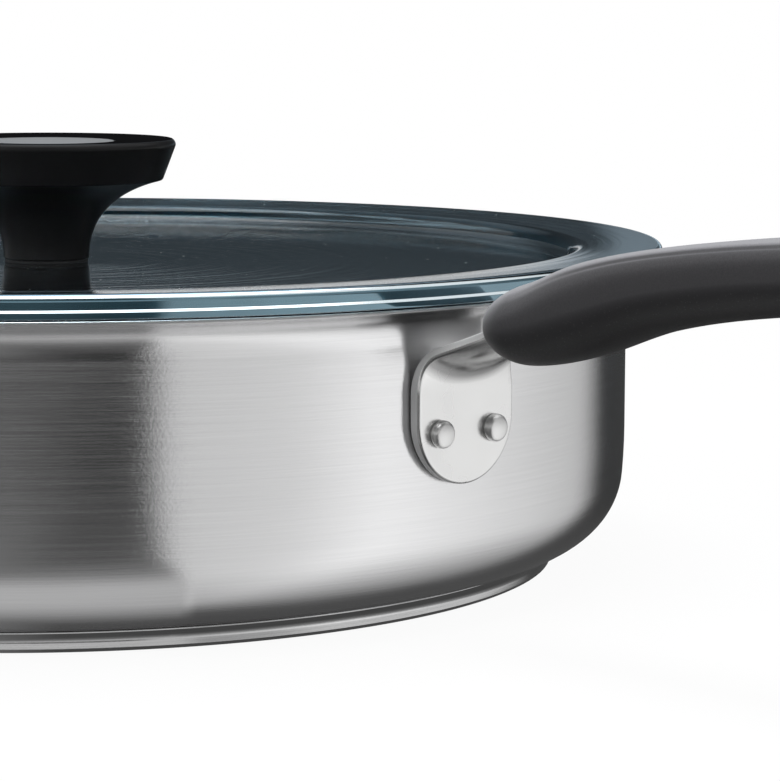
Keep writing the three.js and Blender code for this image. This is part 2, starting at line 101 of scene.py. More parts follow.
# Steps of the meshes, and the angles in degrees from which an edge stays sharp
PAN_STEPS, KNOB_STEPS, RIVET_STEPS, RING_STEPS, SCREW_STEPS = 288, 144, 64, 72, 48
ACROSS_STEPS, EDGE_STEPS, NECK_STEPS, FLOOR_STEPS = 28, 4, 28, 96
SHARP, BRACKET_SHARP, GRIP_SHARP = 40, 35, 60


# Outlines and meshes

ARC_BOW, ROOM_USED, LEAST_RADIUS, ON_AXIS = 0.012, 0.98, 0.1, 1e-6


def rounded(corners):
    """Points of an open outline of corners (x, y) or (x, y, radius), with an arc at each radius."""
    places = [Vector(corner[:2]) for corner in corners]
    inner = range(1, len(corners) - 1)
    turns, reaches = [0] * len(corners), [0] * len(corners)
    for i in inner:
        turns[i] = (places[i] - places[i - 1]).angle(places[i + 1] - places[i])
        radius = corners[i][2] if len(corners[i]) > 2 else 0
        reaches[i] = radius * math.tan(turns[i] / 2)
    points = [places[0]]
    for i in inner:
        if reaches[i] <= 0:
            points.append(places[i])
            continue
        room = min((places[i] - places[j]).length / (reaches[i] + reaches[j]) for j in (i - 1, i + 1))
        reach = reaches[i] * min(1, ROOM_USED * room)
        arc = reach / math.tan(turns[i] / 2)
        before = (places[i - 1] - places[i]).normalized()
        after = (places[i + 1] - places[i]).normalized()
        centre = places[i] + (before + after).normalized() * (arc / math.cos(turns[i] / 2))
        start = places[i] + before * reach - centre
        sign = -1 if before.cross(after) > 0 else 1
        steps = max(2, math.ceil(turns[i] / (2 * math.acos(max(1 - ARC_BOW / arc, 0)))))
        for k in range(steps + 1):
            points.append(centre + Matrix.Rotation(sign * turns[i] * k / steps, 2) @ start)
    return points + [places[-1]]


def offset(corners, sheet):
    """Corners of a sheet's other face, the sheet lying to the left of the first."""
    sides = [(Vector(b[:2]) - Vector(a[:2])).normalized() for a, b in zip(corners, corners[1:])]
    normals = [Vector((-s.y, s.x)) for s in sides]
    other = []
    for i, corner in enumerate(corners):
        first, second = normals[max(i - 1, 0)], normals[min(i, len(normals) - 1)]
        middle = (first + second).normalized()
        place = Vector(corner[:2]) + middle * (sheet / middle.dot(first))
        radius = corner[2] if len(corner) > 2 else 0
        if radius > 0:
            left = first.x * second.y - first.y * second.x > 0
            radius = max(radius + (-sheet if left else sheet), LEAST_RADIUS)
        other.append((place.x, place.y, radius))
    return other


def cup(outside, sheet, edge):
    """The whole outline of a sheet from its outside, with both corners of its free edge rounded."""
    inside = offset(outside, sheet)
    outside = [*outside[:-1], (*outside[-1][:2], edge)]
    inside[-1] = (*inside[-1][:2], edge)
    return rounded(outside + inside[::-1])


def piece(name, verts, faces, sharp=SHARP):
    """A smooth shaded object from points in millimetres."""
    mesh = bpy.data.meshes.new(name)
    mesh.from_pydata([tuple(c * MM for c in v) for v in verts], [], faces)
    shape = bmesh.new()
    shape.from_mesh(mesh)
    bmesh.ops.recalc_face_normals(shape, faces=shape.faces)
    shape.to_mesh(mesh)
    shape.free()
    mesh.shade_smooth()
    mesh.set_sharp_from_angle(angle=math.radians(sharp))
    made = bpy.data.objects.new(name, mesh)
    bpy.context.scene.collection.objects.link(made)
    return made


def turned(name, outline, steps, closed=False, along_x=None):
    """A solid of revolution about Z, or about X through a point (y, z)."""
    verts, rings, faces = [], [], []
    for r, h in outline:
        count = 1 if r < ON_AXIS else steps
        rings.append(range(len(verts), len(verts) + count))
        for k in range(count):
            angle = 2 * math.pi * k / steps
            across, up = r * math.cos(angle), r * math.sin(angle)
            if along_x is None:
                verts.append((across, up, h))
            else:
                verts.append((h, along_x[0] + across, along_x[1] + up))
    pairs = list(zip(rings, rings[1:]))
    if closed:
        pairs.append((rings[-1], rings[0]))
    for low, high in pairs:
        for k in range(steps):
            n = (k + 1) % steps
            if len(low) == 1:
                faces.append((low[0], high[n], high[k]))
            elif len(high) == 1:
                faces.append((low[k], low[n], high[0]))
            else:
                faces.append((low[k], low[n], high[n], high[k]))
    return piece(name, verts, faces)


def lofted(name, sections, sharp):
    """A solid with flat ends through sections that all have as many points."""
    around = len(sections[0])
    verts = [p for section in sections for p in section]
    faces = []
    for i in range(len(sections) - 1):
        for j in range(around):
            n = (j + 1) % around
            a, b = i * around + j, i * around + n
            faces.append((a, b, b + around, a + around))
    last = (len(sections) - 1) * around
    faces.append(tuple(range(around)))
    faces.append(tuple(last + j for j in reversed(range(around))))
    return piece(name, verts, faces, sharp)


def radius_and_outward(face):
    """A face's distance from the axis in millimetres, and how far it faces away from it, -1 to 1."""
    radius = math.hypot(face.center.x, face.center.y)
    outward = (face.normal.x * face.center.x + face.normal.y * face.center.y) / radius
    return radius / MM, outward


def smoothstep(x, low, high):
    """0 up to low, 1 from high on, and eased between them."""
    t = min(max((x - low) / (high - low), 0), 1)
    return t * t * (3 - 2 * t)


def mix(a, b, t):
    """The value at share t of the way from a to b."""
    return a + (b - a) * t


# Pan

def make_bowl():
    """The bowl, with a coating inside up to the lip and a sheared edge on the lip."""
    lean = (TAPER_HEIGHT - BASE) * TAPER
    lip_low = PAN_HEIGHT - WALL * math.cos(RIM_ANGLE)
    outside = [
        (0, BASE),
        (PAN_RADIUS - lean, BASE, CORNER),
        (PAN_RADIUS, TAPER_HEIGHT, TAPER_BLEND),
        (PAN_RADIUS, lip_low - RIM_REACH * math.tan(RIM_ANGLE), RIM_BEND),
        (LIP_RADIUS, lip_low),
    ]
    bowl = turned("bowl", cup(outside, WALL, LIP_EDGE), PAN_STEPS)
    bare_lip, sheared_edge, level = 1, 0.25, 0.1
    for face in bowl.data.polygons:
        radius, outward = radius_and_outward(face)
        inside = outward < 0 or face.normal.z > level
        face.material_index = 1 if inside and radius < LIP_RADIUS - bare_lip else 0
        if radius > LIP_RADIUS - sheared_edge:
            face.material_index = 2
    return bowl


def make_cap():
    """A shallow cup whose band curves in under a lip at the seam."""
    lip_high = BASE - FIT / 2
    foot_edge, belly_round, groove_round, lip_edge, free_edge = 0.3, 0.6, 3, 0.15, 0.25
    outside = [
        (0, 0),
        (CAP_RADIUS - CAP_FOOT_RUN, 0, foot_edge),
        (CAP_RADIUS - CAP_BELLY, CAP_FOOT_RISE, belly_round),
        (CAP_RADIUS - CAP_GROOVE, CAP_BAND, groove_round),
        (CAP_RADIUS, lip_high - CAP_LIP, lip_edge),
        (CAP_RADIUS - CAP_LIP_LEAN, lip_high),
    ]
    return turned("base_cup", cup(outside, CAP_SHEET, free_edge), PAN_STEPS)


# Lid and knob

def make_lid():
    """Pressed glass of one thickness: a dished floor, a step and a bowed flange with a ledged edge."""
    hole_edge, flat_under_knob = 0.4, NECK + 4
    crown_round, ledge_edge, wall_edge, foot_edge = 1.5, 0.12, 0.2, 0.5
    flange_shares = (0.25, 0.4, 0.55, 0.7, 0.85, 1)
    step_high = LID_HIGH - FLANGE_FALL
    step = LID_RADIUS - FLANGE
    top = [
        (LID_HOLE, FLOOR_HIGH, hole_edge),
        (flat_under_knob, FLOOR_HIGH, FLOOR_BLEND),
        (step - STEP_RUN, FLOOR_HIGH + FLOOR_DISH, STEP_BEND),
        (step, step_high, STEP_BEND),
    ]
    for share in flange_shares:
        bowed = share + FLANGE_BOW * share * (1 - share)
        top.append((step + share * FLANGE, step_high + bowed * FLANGE_FALL))
    under = offset(top, -GLASS)
    ledge_high = LID_HIGH - LEDGE_DROP
    edge = [
        (LID_RADIUS - LEDGE, LID_HIGH - LEDGE_FALL, crown_round),
        (LID_RADIUS - LEDGE, ledge_high, ledge_edge),
        (LID_RADIUS, ledge_high - LEDGE, wall_edge),
        (LID_RADIUS, under[-1][1], foot_edge),
    ]
    corners = top[:-1] + edge + under[::-1][1:]
    start = (LID_HOLE, (FLOOR_HIGH + corners[-1][1]) / 2)
    corners[-1] = (*corners[-1][:2], hole_edge)
    lid = turned("lid", rounded([start, *corners, start])[:-1], PAN_STEPS, closed=True)
    edge_depth, edge_facing, ledge_facing = 2, 0.2, 0.35
    # Outward faces of the edge take the teal finish; those that face up take a bright metal finish on
    # the glass, a painted highlight.
    for face in lid.data.polygons:
        radius, outward = radius_and_outward(face)
        if radius > LID_RADIUS - edge_depth and outward > edge_facing:
            face.material_index = 2 if face.normal.z > ledge_facing else 1
    return lid


def bezier(a, b, c, d, steps):
    """Points of a curve from a to d that b and c pull, without d itself."""
    points = []
    for k in range(steps):
        t = k / steps
        weights = ((1 - t) ** 3, 3 * t * (1 - t) ** 2, 3 * t * t * (1 - t), t ** 3)
        point = [sum(w * p[axis] for w, p in zip(weights, (a, b, c, d))) for axis in (0, 1)]
        points.append(tuple(point))
    return points


def make_knob():
    """A neck that sweeps out to a knee, a conical side, and a dished top with a recess for the disc."""
    foot_edge, knee_round, recess_edge = 0.4, 0.8, 0.2
    recess, recess_low = INLAY_RADIUS + FIT, INLAY_HIGH - INLAY
    bore, bore_high = BORE_RADIUS + FIT, INSERT_LOW + BORE_DEPTH
    neck = bezier(
        (NECK, KNOB_FOOT + foot_edge),
        (NECK, KNOB_FOOT + NECK_RISE),
        ((NECK + KNEE_RADIUS) * KNEE_PULL_SHARE, KNOB_FOOT + KNEE_PULL),
        (KNEE_RADIUS, KNEE),
        NECK_STEPS,
    )
    rim_middle = KNOB_RADIUS - KNOB_RIM_WIDTH / 2
    outline = [
        (0, bore_high),
        (bore, bore_high),
        (bore, KNOB_FOOT),
        (NECK, KNOB_FOOT, foot_edge),
        *neck,
        (KNEE_RADIUS, KNEE, knee_round),
        (KNOB_RADIUS, KNOB_HIGH - KNOB_RIM, KNOB_RIM),
        (rim_middle, KNOB_HIGH, KNOB_RIM),
        (KNOB_RADIUS - KNOB_RIM_WIDTH, KNOB_HIGH - KNOB_RIM / 4, KNOB_RIM),
        (recess, INLAY_HIGH, recess_edge),
        (recess, recess_low),
        (0, recess_low),
    ]
    knob = turned("knob_body", rounded(outline), KNOB_STEPS)
    # Painted shade: the dish inside the rim takes a darker, glossless copy of the knob's black.
    dish_facing = 0.5
    for face in knob.data.polygons:
        radius, _ = radius_and_outward(face)
        face.material_index = 1 if face.normal.z > dish_facing and radius < rim_middle else 0
    return knob


def make_inlay():
    """A thin disc with an eased upper edge, in the knob's recess."""
    low, edge = INLAY_HIGH - INLAY, 0.3
    outline = [(0, low), (INLAY_RADIUS, low), (INLAY_RADIUS, INLAY_HIGH, edge), (0, INLAY_HIGH)]
    return turned("knob_disc", rounded(outline), KNOB_STEPS)


def ring(name, outer, low, high):
    """A seal or washer round the screw."""
    edge = 0.15
    middle = (SCREW_HOLE, (low + high) / 2)
    outline = [
        middle,
        (SCREW_HOLE, low, edge),
        (outer, low, edge),
        (outer, high, edge),
        (SCREW_HOLE, high, edge),
        middle,
    ]
    return turned(name, rounded(outline)[:-1], RING_STEPS, closed=True)


def make_screw():
    """A round head under the washer, with a socket, and a shank up into the insert."""
    low, high = WASHER_LOW - SCREW_HEAD, INSERT_LOW + SCREW_REACH
    socket_lip, socket_edge, head_round, tip_round = 0.1, 0.15, 2.4, 0.6
    outline = [
        (0, low + SOCKET_DEPTH),
        (SOCKET_RADIUS, low + SOCKET_DEPTH),
        (SOCKET_RADIUS, low + socket_lip, socket_edge),
        (SCREW_HEAD_RADIUS, low, head_round),
        (SCREW_HEAD_RADIUS, WASHER_LOW),
        (SCREW, WASHER_LOW),
        (SCREW, high, tip_round),
        (0, high),
    ]
    return turned("screw", rounded(outline), SCREW_STEPS)


# Handle

def bracket_line():
    """Stations of the bracket's middle line: place in the XZ plane, heading, distance."""
    bend, blend = math.pi / 2 - ARM_ANGLE, ARM_ANGLE - TANG_ANGLE
    half = TANG_WIDTH / 2
    # Length, turn, steps, and the end towards which the steps get finer
    legs = [
        (PLATE_WIDTH / 2, 0, 22, "start"),
        (PLATE_LENGTH - PLATE_WIDTH / 2, 0, 6, ""),
        (BEND * bend, bend, 24, ""),
        (ARM_LENGTH, 0, 10, ""),
        (TANG_BLEND * blend, blend, 8, ""),
        (TANG_LENGTH - half, 0, 12, ""),
        (half, 0, 12, "end"),
    ]
    place = Vector((PLATE_INNER + PLATE_SHEET / 2, PLATE_BOTTOM))
    heading, walked = math.pi / 2, 0
    stations = [(place.copy(), heading, walked)]
    for length, turn, steps, fine in legs:
        done = 0
        for k in range(1, steps + 1):
            quarter = math.pi / 2 * k / steps
            share = {"start": 1 - math.cos(quarter), "end": math.sin(quarter)}.get(fine, k / steps)
            part = share - done
            heading -= turn * part / 2
            place = place + Vector((math.cos(heading), math.sin(heading))) * (length * part)
            heading -= turn * part / 2
            walked += length * part
            done = share
            stations.append((place.copy(), heading, walked))
    return stations


def bracket_section(place, heading, straight, half, into_end, trough, hug):
    """Points round the sheet at one station: its face, an edge, its back, and the other edge."""
    ahead = Vector((math.cos(heading), math.sin(heading)))
    normal = Vector((math.sin(heading), -math.cos(heading)))

    def at(share, inset, out):
        y = half * share * (1 - inset / straight)
        bow = trough + (hug if out < 0 else 0)
        p = place + ahead * (inset * into_end) + normal * (out - bow * (y / straight) ** 2)
        return (p.x, y, p.y)

    face = PLATE_SHEET / 2
    shares = [2 * j / ACROSS_STEPS - 1 for j in range(ACROSS_STEPS + 1)]
    turns = [math.pi / 2 * k / EDGE_STEPS for k in range(1, EDGE_STEPS + 1)]
    edge = [(PLATE_EDGE * (1 - math.sin(a)), face - PLATE_EDGE * (1 - math.cos(a))) for a in turns]
    section = [at(share, PLATE_EDGE, face) for share in shares]
    section += [at(1, inset, out) for inset, out in edge]
    section += [at(1, inset, -out) for inset, out in reversed(edge)]
    section += [at(share, PLATE_EDGE, -face) for share in reversed(shares)]
    section += [at(-1, inset, -out) for inset, out in edge]
    section += [at(-1, inset, out) for inset, out in reversed(edge)]
    return section


def make_bracket():
    """The sheet lofted along its middle line, from the round plate to the round end of the tang."""
    stations = bracket_line()
    total = stations[-1][2]
    bend_end = PLATE_LENGTH + BEND * (math.pi / 2 - ARM_ANGLE)
    arm_end = bend_end + ARM_LENGTH
    least_half = 0.05
    sections = []
    for place, heading, walked in stations:
        arm = smoothstep(walked, PLATE_LENGTH, arm_end)
        tang = min(max((walked - arm_end) / (total - arm_end), 0), 1)
        straight = mix(mix(PLATE_WIDTH, ARM_WIDTH, arm), TANG_WIDTH, tang) / 2
        half, into_end = straight, 0
        ends = ((PLATE_WIDTH / 2, walked, 1), (TANG_WIDTH / 2, total - walked, -1))
        for radius, from_end, sign in ends:
            if from_end < radius:
                half = max(math.sqrt(radius ** 2 - (radius - from_end) ** 2), least_half)
                into_end = sign * (1 - from_end / radius)
        formed = smoothstep(walked, PLATE_LENGTH, bend_end)
        trough = formed * mix(ARM_TROUGH, TANG_TROUGH, tang)
        hug = (1 - formed) * straight ** 2 / (2 * PAN_RADIUS)
        sections.append(bracket_section(place, heading, straight, half, into_end, trough, hug))
    bracket = lofted("bracket", sections, BRACKET_SHARP)
    around = len(sections[0])
    for i, face in enumerate(bracket.data.polygons):
        outer = i % around < ACROSS_STEPS + EDGE_STEPS or i % around >= around - EDGE_STEPS
        face.material_index = 0 if outer else 1
    return bracket


def make_rivet(name, side):
    """A low round head inside the wall, a shank, and a tail with a soft crown on the plate."""
    wall, head = PAN_RADIUS - WALL, RIVET_HEAD_RADIUS
    head_face = math.sqrt(wall ** 2 - (RIVET_SIDE + head) ** 2) - FIT - RIVET_SEAT
    tail = PLATE_INNER + PLATE_SHEET + FIT
    dome_run, dome_rise, brim = 0.7 * head, 0.9 * RIVET_HEAD, 0.2 * RIVET_HEAD
    tail_edge, crown_round = 0.25, 1.1
    outline = [
        (0, head_face - RIVET_HEAD),
        (dome_run, head_face - dome_rise, head),
        (head, head_face - brim, brim),
        (head, head_face),
        (RIVET_SHANK, head_face),
        (RIVET_SHANK, tail),
        (RIVET_TAIL_RADIUS, tail, tail_edge),
        (RIVET_TAIL_RADIUS, tail + RIVET_TAIL, crown_round),
        (0, tail + RIVET_TAIL + RIVET_CROWN),
    ]
    return turned(name, rounded(outline), RIVET_STEPS, along_x=(side * RIVET_SIDE, RIVET_HEIGHT))


# Grip stations as shares: along the arch, along the straight run, underside, top, width
GRIP_STATIONS = [
    (0, 0, 0.455, 0.69, 0.954),
    (0.178, 0, 0.444, 0.732, 0.962),
    (0.38, 0, 0.496, 0.814, 0.962),
    (0.65, 0, 0.605, 0.879, 0.923),
    (1, 0, 0.68, 0.932, 0.885),
    (1, 0.304, 0.729, 0.974, 0.908),
    (1, 0.661, 0.762, 1, 0.969),
    (1, 1, 0.755, 0.99, 1),
]


def grip_places():
    """The stations in millimetres: x, underside, top, half width."""
    straight_run = GRIP_END - GRIP_START - GRIP_ARCH
    places = []
    for arch, straight, under, top, wide in GRIP_STATIONS:
        x = GRIP_START + arch * GRIP_ARCH + straight * straight_run
        low, high = PLATE_BOTTOM + under * GRIP_RISE, PLATE_BOTTOM + top * GRIP_RISE
        places.append(Vector((x, low, high, wide * GRIP_WIDTH / 2)))
    return places


def spline(points, t):
    """Point of the smooth curve through points, at share t of its spans."""
    spans = len(points) - 1
    i = min(int(t * spans), spans - 1)
    u = t * spans - i
    b, c = points[i], points[i + 1]
    a = points[i - 1] if i > 0 else b * 2 - c
    d = points[i + 2] if i + 2 <= spans else c * 2 - b
    return 0.5 * (b * 2 + (c - a) * u + (a * 2 - b * 5 + c * 4 - d) * u * u
                  + (b * 3 - a - c * 3 + d) * u ** 3)


def grip_section(x, low, high, half, crest):
    """Round below, with a flatter crest above whose edges are eased by crest from 0 to 1."""
    points, count = [], 144
    for k in range(count):
        angle = 2 * math.pi * (k + 0.5) / count
        across, up = math.cos(angle), math.sin(angle)
        power = 2 / (mix(SIDE_POWER, CREST_POWER, crest) if up > 0 else SIDE_POWER)
        from_crease = math.degrees(math.atan2(up, abs(across))) - CREASE_ANGLE
        tuck = 1 - CREASE_DEPTH / GRIP_WIDTH * crest * math.exp(-(from_crease / CREASE_SPREAD) ** 2)
        y = half * tuck * math.copysign(abs(across) ** power, across)
        lift = tuck * math.copysign(abs(up) ** power, up)
        points.append((x, y, (low + high) / 2 + lift * (high - low) / 2))
    return points


def make_grip():
    """The grip lofted through its stations, with round ends and the hang hole cut through."""
    places, sections, along = grip_places(), [], 110
    first, last = 0.012, 0.993
    for k in range(along + 1):
        t = (1 - math.cos(math.pi * mix(first, last, k / along))) / 2
        x, low, high, half = spline(places, t)
        nose = min((x - GRIP_START) / GRIP_NOSE, 1)
        tip = min((GRIP_END - x) / GRIP_TIP, 1)
        full = math.sqrt(1 - (1 - nose) ** 2) * math.sqrt(1 - (1 - tip) ** 2)
        middle, reach = (low + high) / 2, (high - low) / 2 * full
        crest = smoothstep(x, GRIP_START, GRIP_START + CREST_RUN)
        sections.append(grip_section(x, middle - reach, middle + reach, half * full, crest))
    grip = lofted("grip", sections, GRIP_SHARP)
    cutter = hole_cutter()
    cut = grip.modifiers.new("hang_hole", "BOOLEAN")
    cut.object, cut.operation, cut.solver = cutter, "DIFFERENCE", "EXACT"
    bpy.context.view_layer.update()
    graph = bpy.context.evaluated_depsgraph_get()
    shaped = bpy.data.meshes.new_from_object(grip.evaluated_get(graph))
    grip.modifiers.clear()
    grip.data = shaped
    shaped.shade_smooth()
    shaped.set_sharp_from_angle(angle=math.radians(SHARP))
    bpy.data.objects.remove(cutter)
    return grip


def hole_cutter():
    """A slot that widens towards both mouths, by growths at depths from the faces."""
    low, high = PLATE_BOTTOM + GRIP_STATIONS[-1][2] * GRIP_RISE, PLATE_BOTTOM + GRIP_RISE
    lower_mouth = [(-6, 5), (-0.2, 1.6), (0.6, 0.7), (1.8, 0.15), (3, 0)]
    upper_mouth = [(-3, 0), (-2, 0.15), (-1, 0.7), (-0.3, 1.6), (5, 5)]
    levels = [(low + z, grow) for z, grow in lower_mouth] + [(high + z, grow) for z, grow in upper_mouth]
    straight = (HOLE_LENGTH - HOLE_WIDTH) / 2
    arc_steps = 16
    sections = []
    for z, grow in levels:
        radius = HOLE_WIDTH / 2 + grow
        section = []
        for end, first in ((1, -90), (-1, 90)):
            for k in range(arc_steps + 1):
                angle = math.radians(first + 180 * k / arc_steps)
                x = HOLE_MIDDLE + end * straight + radius * math.cos(angle)
                section.append((x, radius * math.sin(angle), z))
        sections.append(section)
    return lofted("hole_cutter", sections, GRIP_SHARP)


# Node helpers

def add(tree, kind, **values):
    """A node, with its named sockets set and its other settings as attributes."""
    node = tree.nodes.new("ShaderNode" + kind)
    for key, value in values.items():
        label = key.replace("_", " ")
        if label in node.inputs:
            node.inputs[label].default_value = value
        else:
            setattr(node, key, value)
    return node


def feed(tree, socket, value):
    """Set a socket to a number, or link another node's output to it."""
    if isinstance(value, (int, float)):
        socket.default_value = value
    else:
        tree.links.new(value, socket)


def math_node(tree, operation, *values):
    """The result of one operation on numbers or other nodes' outputs."""
    node = add(tree, "Math", operation=operation)
    for socket, value in zip(node.inputs, values):
        feed(tree, socket, value)
    return node.outputs[0]


def product(tree, first, *others):
    """All the factors multiplied."""
    for other in others:
        first = math_node(tree, "MULTIPLY", first, other)
    return first


def mapped(tree, value, from_low, from_high, to_low, to_high):
    """The value's first range mapped to the second, and held at its ends."""
    node = add(tree, "MapRange", From_Min=from_low, From_Max=from_high, To_Min=to_low, To_Max=to_high)
    tree.links.new(value, node.inputs["Value"])
    return node.outputs[0]


def band(tree, value, edges, bright=1):
    """A mask that rises between the first two edges and falls between the last two."""
    rising = mapped(tree, value, *edges[:2], 0, bright)
    return product(tree, rising, mapped(tree, value, *edges[2:], 1, 0))


def blended(tree, mask, a, b):
    """Colour a where the mask is 0 and b where it is 1."""
    node = add(tree, "Mix", data_type="RGBA")
    tree.links.new(mask, node.inputs[0])
    node.inputs[6].default_value = (*a, 1)
    node.inputs[7].default_value = (*b, 1)
    return node.outputs[2]


def between(tree, mask, a, b):
    """Value a where the mask is 0 and b where it is 1."""
    node = add(tree, "Mix", data_type="FLOAT")
    for socket, value in ((0, mask), (2, a), (3, b)):
        feed(tree, node.inputs[socket], value)
    return node.outputs[0]


def shader_mix(tree, mask, first, second):
    """The first shader where the mask is 0 and the second where it is 1."""
    node = add(tree, "MixShader")
    tree.links.new(mask, node.inputs[0])
    tree.links.new(first.outputs[0], node.inputs[1])
    tree.links.new(second.outputs[0], node.inputs[2])
    return node


def split_axes(tree, output):
    """The three axes of one output of the texture coordinates."""
    place = add(tree, "TexCoord")
    axes = add(tree, "SeparateXYZ")
    tree.links.new(place.outputs[output], axes.inputs[0])
    return axes.outputs


def directions(tree, output):
    """Azimuth in degrees, height and distance from the axis."""
    x, y, z = split_axes(tree, output)
    azimuth = math_node(tree, "MULTIPLY", math_node(tree, "ARCTAN2", y, x), math.degrees(1))
    square = math_node(tree, "ADD", product(tree, x, x), product(tree, y, y))
    return azimuth, z, math_node(tree, "SQRT", square)


def scaled_place(tree, scale):
    """The place on the piece, in metres, times a scale."""
    place = add(tree, "TexCoord")
    node = add(tree, "VectorMath", operation="SCALE")
    tree.links.new(place.outputs["Object"], node.inputs[0])
    tree.links.new(scale, node.inputs["Scale"])
    return node.outputs[0]


def new_group(name, inputs, outputs):
    """A node group with sockets for numbers, and its nodes for what goes in and comes out."""
    group = bpy.data.node_groups.new(name, "ShaderNodeTree")
    for label, value in inputs:
        socket = group.interface.new_socket(label, in_out="INPUT", socket_type="NodeSocketFloat")
        socket.default_value = value
    for label in outputs:
        group.interface.new_socket(label, in_out="OUTPUT", socket_type="NodeSocketFloat")
    return group, group.nodes.new("NodeGroupInput"), group.nodes.new("NodeGroupOutput")


# Effects that several finishes share

def turned_grain():
    """Fine lines that run round the axis, and a pebbled skin."""
    tree, given, out = new_group(
        "turned_grain", [("Around", 22), ("Across", 3000), ("Pebble", 1400)], ["Lines", "Pebbles"])
    x, y, z = split_axes(tree, "Object")
    flat = add(tree, "CombineXYZ")
    tree.links.new(x, flat.inputs[0])
    tree.links.new(y, flat.inputs[1])
    radius = add(tree, "VectorMath", operation="LENGTH")
    tree.links.new(flat.outputs[0], radius.inputs[0])
    along = math_node(tree, "ADD", radius.outputs["Value"], z)
    grain = add(tree, "CombineXYZ")
    tree.links.new(product(tree, x, given.outputs["Around"]), grain.inputs[0])
    tree.links.new(product(tree, y, given.outputs["Around"]), grain.inputs[1])
    tree.links.new(product(tree, along, given.outputs["Across"]), grain.inputs[2])
    lines = add(tree, "TexNoise", Scale=1, Detail=4, Roughness=0.65)
    tree.links.new(grain.outputs[0], lines.inputs["Vector"])
    tree.links.new(lines.outputs[0], out.inputs["Lines"])
    pebbles = add(tree, "TexNoise", Scale=1, Detail=2, Roughness=0.5)
    tree.links.new(scaled_place(tree, given.outputs["Pebble"]), pebbles.inputs["Vector"])
    tree.links.new(pebbles.outputs[0], out.inputs["Pebbles"])
    return tree


def speckle():
    """Scattered small spots and a fine moulded skin."""
    tree, given, out = new_group(
        "speckle", [("Spots", 900), ("Skin", 2600), ("Size", 0.16), ("Rarity", 0.72)], ["Spot", "Skin"])
    cells = add(tree, "TexVoronoi", Scale=1, Randomness=1)
    tree.links.new(scaled_place(tree, given.outputs["Spots"]), cells.inputs["Vector"])
    spot = math_node(tree, "LESS_THAN", cells.outputs["Distance"], given.outputs["Size"])
    lucky = add(tree, "SeparateColor")
    tree.links.new(cells.outputs["Color"], lucky.inputs[0])
    chosen = math_node(tree, "GREATER_THAN", lucky.outputs[0], given.outputs["Rarity"])
    tree.links.new(product(tree, spot, chosen), out.inputs["Spot"])
    skin = add(tree, "TexNoise", Scale=1, Detail=3, Roughness=0.6)
    tree.links.new(scaled_place(tree, given.outputs["Skin"]), skin.inputs["Vector"])
    tree.links.new(skin.outputs[0], out.inputs["Skin"])
    return tree


def clouding():
    """Slow patches of wear, smears or tone."""
    tree, given, out = new_group("clouding", [("Size", 30)], ["Patch"])
    noise = add(tree, "TexNoise", Scale=1, Detail=3, Roughness=0.55)
    tree.links.new(scaled_place(tree, given.outputs["Size"]), noise.inputs["Vector"])
    tree.links.new(noise.outputs[0], out.inputs["Patch"])
    return tree


def upward():
    """How far the surface faces up, from -1 to 1."""
    tree, _, out = new_group("upward", [], ["Up"])
    _, _, up = split_axes(tree, "Normal")
    tree.links.new(up, out.inputs["Up"])
    return tree


GROUPS = {made.name: made for made in (turned_grain(), speckle(), clouding(), upward())}

# Most values of a noise lie in this range
NOISE = (0.3, 0.7)


def use(tree, name, **values):
    """The outputs of a shared effect, placed in a material with its own values."""
    node = tree.nodes.new("ShaderNodeGroup")
    node.node_tree = GROUPS[name]
    for key, value in values.items():
        node.inputs[key].default_value = value
    return node.outputs


def finish_of(name, **values):
    """A material with one Principled shader, whose constants are set on its own sockets."""
    material = bpy.data.materials.new(name)
    material.use_nodes = True
    shader = material.node_tree.nodes["Principled BSDF"]
    for key, value in values.items():
        shader.inputs[key.replace("_", " ")].default_value = value
    return material, material.node_tree, shader


def bump(tree, shader, height, relief):
    """Relief in metres."""
    node = add(tree, "Bump", Strength=1.0, Distance=relief)
    tree.links.new(height, node.inputs["Height"])
    tree.links.new(node.outputs[0], shader.inputs["Normal"])


# Finishes

def brushed_steel(name, dark, light, rough, stretch, around=22, across=3000, relief=0.00001, metal=1.0):
    """Steel with fine lines round the axis, which also stretch its reflections."""
    tones, line_tone, pebble_height = (0.4, 1.2), 0.6, 0.55
    smoothest, roughest = rough - 0.05, rough + 0.06
    material, tree, shader = finish_of(
        name, Metallic=metal, Anisotropic=stretch, Anisotropic_Rotation=0.25)
    tangent = add(tree, "Tangent", direction_type="RADIAL", axis="Z")
    tree.links.new(tangent.outputs[0], shader.inputs["Tangent"])
    grain = use(tree, "turned_grain", Around=around, Across=across, Pebble=1500)
    patch = use(tree, "clouding", Size=18)
    lines = mapped(tree, grain["Lines"], *NOISE, 0, 1)
    tree.links.new(blended(tree, lines, dark, light), shader.inputs["Base Color"])
    tone = math_node(tree, "MULTIPLY_ADD", grain["Lines"], line_tone, patch["Patch"])
    wear = mapped(tree, tone, *tones, smoothest, roughest)
    tree.links.new(wear, shader.inputs["Roughness"])
    height = math_node(tree, "MULTIPLY_ADD", grain["Pebbles"], pebble_height, grain["Lines"])
    bump(tree, shader, height, relief)
    return material


